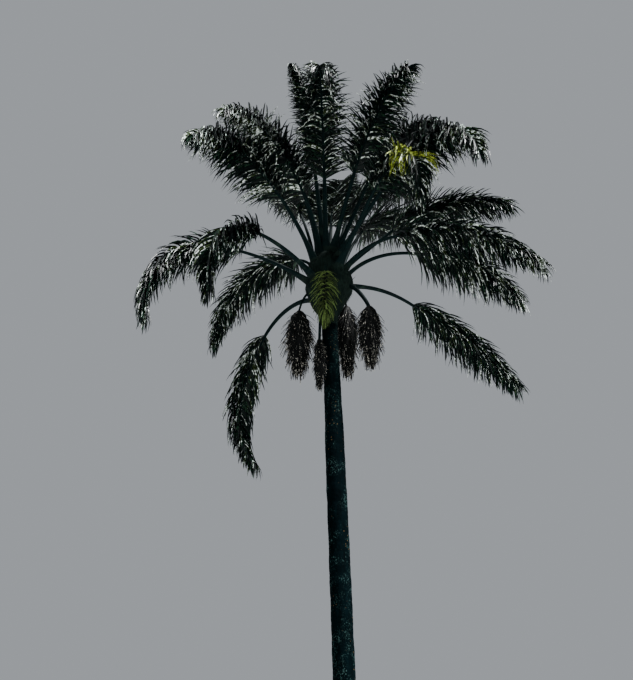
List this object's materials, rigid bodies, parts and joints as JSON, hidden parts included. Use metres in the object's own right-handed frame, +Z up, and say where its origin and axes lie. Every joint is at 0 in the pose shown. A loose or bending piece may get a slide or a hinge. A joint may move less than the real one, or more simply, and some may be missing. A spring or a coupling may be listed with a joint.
{
  "type": "feather palm tree",
  "caption": "Tall single-stemmed feather palm with a slender bare trunk, plumed arching fronds and hanging stalked clusters, cut flat at ground level.",
  "frame": {"origin": "middle of the flat cut under the trunk, at ground level", "axes": "+Z up along the trunk, +X to the right of the picture's view, +Y away from it"},
  "size_m": [7.0255, 6.0102, 15.8395],
  "materials": {
    "bark": "rough grey bark with leaf scars and pale lichen",
    "sheath": "fibrous leaf bases",
    "frond": "glossy dark green leaflets on smooth green stalks",
    "flower": "matte yellow-green strands",
    "fruit": "matte dark strands with pale tips"
  },
  "bodies": {
    "root": {"flower_cluster_front": "flower", "frond_01_blade": "frond", "frond_01_stalk": "frond", "frond_02_blade": "frond", "frond_02_stalk": "frond", "frond_03_blade": "frond", "frond_03_stalk": "frond", "frond_04": "frond", "frond_05_blade": "frond", "frond_05_stalk": "frond", "frond_06_blade": "frond", "frond_06_stalk": "frond", "frond_07_blade": "frond", "frond_07_stalk": "frond", "frond_08_blade": "frond", "frond_08_stalk": "frond", "frond_09": "frond", "frond_10_blade": "frond", "frond_10_stalk": "frond", "frond_11": "frond", "frond_12_blade": "frond", "frond_12_stalk": "frond", "frond_13_blade": "frond", "frond_13_stalk": "frond", "frond_14": "frond", "frond_15": "frond", "frond_16_blade": "frond", "frond_16_stalk": "frond", "frond_17": "frond", "frond_18": "frond", "frond_19_blade": "frond", "frond_19_stalk": "frond", "frond_20_blade": "frond", "frond_20_stalk": "frond", "frond_21": "frond", "frond_22_blade": "frond", "frond_22_stalk": "frond", "frond_23": "frond", "frond_24": "frond", "fruit_cluster_back": "fruit", "fruit_cluster_behind_right": "fruit", "fruit_cluster_beside_trunk": "fruit", "fruit_cluster_left": "fruit", "fruit_cluster_right": "fruit", "leaf_base_heart": "sheath", "trunk": "bark"}
  },
  "joints": []
}
